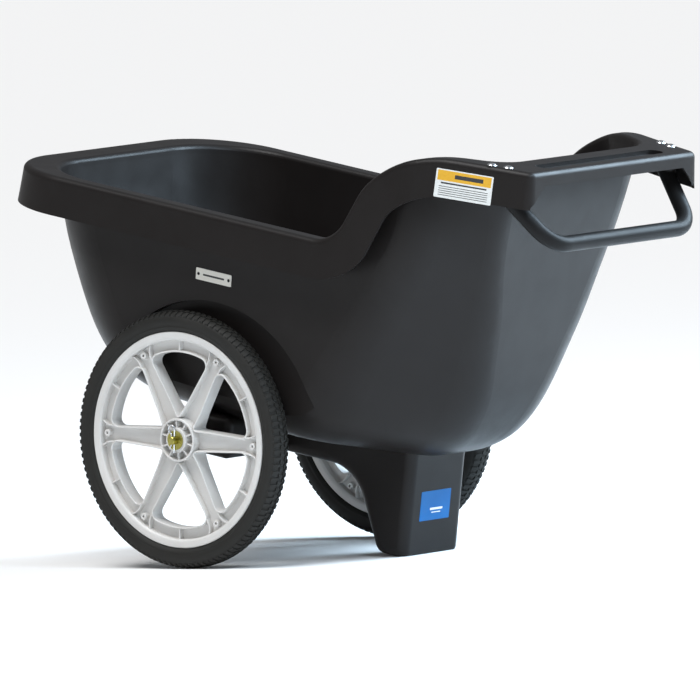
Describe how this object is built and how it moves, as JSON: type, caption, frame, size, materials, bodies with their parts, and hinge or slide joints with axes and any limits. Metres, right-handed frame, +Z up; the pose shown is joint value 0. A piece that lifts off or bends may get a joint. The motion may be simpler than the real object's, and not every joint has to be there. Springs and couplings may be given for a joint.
{
  "type": "garden cart",
  "caption": "Two-wheeled garden cart with a deep moulded poly tub, spoked wheels on a through axle, a rear leg and a bent tube pull handle.",
  "frame": {"origin": "middle of the cart's bounding box, on the ground under the tyres and the leg's sole", "axes": "+X to the rear, from the dumping nose to the pull handle; +Y along the axle to the right-hand wheel, seen from behind the handle; +Z up"},
  "size_m": [1.3345, 0.726, 0.8037],
  "materials": {
    "tub_plastic": "satin moulded charcoal polyethylene",
    "black_paint": "satin black powder coat",
    "bright_zinc": "bright zinc plate",
    "steel_axle": "cold drawn steel",
    "yellow_zinc": "yellow zinc plate",
    "white_plastic": "off-white moulded plastic",
    "tyre_rubber": "matt black rubber",
    "bearing_nylon": "moulded nylon",
    "plate_ivory": "satin plate",
    "label_white": "printed vinyl",
    "label_blue": "printed vinyl"
  },
  "bodies": {
    "root": {"tub_body": "tub_plastic", "handle_tube": "black_paint", "handle_bolts": "bright_zinc", "threaded_inserts": "bright_zinc", "axle_rod": "yellow_zinc", "axle_spacer_left": "steel_axle", "inner_washer_left": "bright_zinc", "outer_washer_left": "yellow_zinc", "hairpin_clip_left": "bright_zinc", "axle_spacer_right": "steel_axle", "inner_washer_right": "bright_zinc", "outer_washer_right": "yellow_zinc", "hairpin_clip_right": "bright_zinc", "nameplate": "plate_ivory", "nameplate_rivets": "black_paint", "side_label": "label_white", "leg_label": "label_blue"},
    "wheel_left": {"wheel_left": "white_plastic", "tyre_left": "tyre_rubber", "bearing_outer_left": "bearing_nylon", "bearing_inner_left": "bearing_nylon"},
    "wheel_right": {"wheel_right": "white_plastic", "tyre_right": "tyre_rubber", "bearing_outer_right": "bearing_nylon", "bearing_inner_right": "bearing_nylon"}
  },
  "joints": [
    {"name": "wheel_left_spin", "type": "hinge", "parent": "root", "child": "wheel_left", "pos_m": [-0.21387, -0.3225, 0.254], "axis": [0, 1, 0], "continuous": true},
    {"name": "wheel_right_spin", "type": "hinge", "parent": "root", "child": "wheel_right", "pos_m": [-0.21387, 0.3225, 0.254], "axis": [0, 1, 0], "continuous": true}
  ]
}
